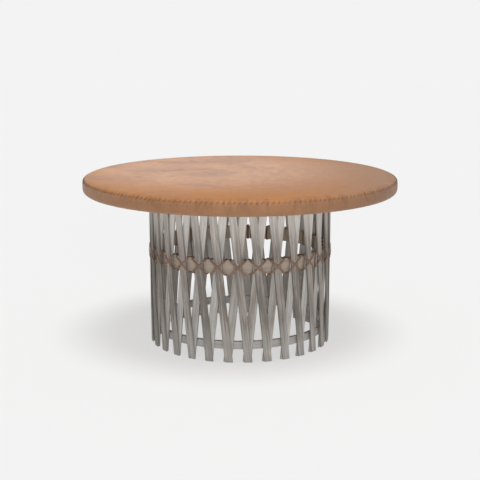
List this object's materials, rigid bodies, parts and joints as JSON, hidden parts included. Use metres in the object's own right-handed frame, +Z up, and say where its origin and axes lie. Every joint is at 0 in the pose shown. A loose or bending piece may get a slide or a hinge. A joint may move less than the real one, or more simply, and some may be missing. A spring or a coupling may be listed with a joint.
{
  "type": "equipale table",
  "caption": "Low round table with a pigskin covered top on an open drum of crossing split-wood slats tied to inner hoops.",
  "frame": {"origin": "on the floor at the middle of the drum", "axes": "+Z up through the middle of the top, -Y towards the front of the picture's view"},
  "size_m": [0.915, 0.915, 0.49],
  "materials": {
    "hide": "tan pigskin, satin",
    "edge_hide": "darker tan pigskin, satin",
    "board": "sawn pine",
    "bent_wood": "bent wood, dark and dull",
    "slat": "split cedar, weathered grey-brown",
    "screw": "zinc plated"
  },
  "bodies": {
    "root": {"top_hide": "hide", "edge_band": "edge_hide", "rim_hoop": "bent_wood", "plank_1": "board", "plank_2": "board", "plank_3": "board", "plank_4": "board", "plank_5": "board", "upper_hoop": "bent_wood", "middle_hoop": "bent_wood", "lower_hoop": "bent_wood", "cross_rail_x": "board", "cross_rail_y": "board", "rail_screw_1": "screw", "rail_screw_2": "screw", "rail_screw_3": "screw", "rail_screw_4": "screw", "rail_screw_5": "screw", "rail_screw_6": "screw", "rail_screw_7": "screw", "rail_screw_8": "screw", "slat_pair_01": "slat", "slat_pair_02": "slat", "slat_pair_03": "slat", "slat_pair_04": "slat", "slat_pair_05": "slat", "slat_pair_06": "slat", "slat_pair_07": "slat", "slat_pair_08": "slat", "slat_pair_09": "slat", "slat_pair_10": "slat", "slat_pair_11": "slat", "slat_pair_12": "slat", "slat_pair_13": "slat", "slat_pair_14": "slat", "slat_pair_15": "slat", "slat_pair_16": "slat", "slat_pair_17": "slat", "slat_pair_18": "slat", "slat_pair_19": "slat", "slat_pair_20": "slat", "slat_pair_21": "slat", "slat_pair_22": "slat", "slat_pair_23": "slat", "slat_pair_24": "slat", "slat_pair_25": "slat", "slat_pair_26": "slat", "slat_pair_27": "slat", "slat_pair_28": "slat", "slat_pair_29": "slat", "slat_pair_30": "slat"}
  },
  "joints": []
}
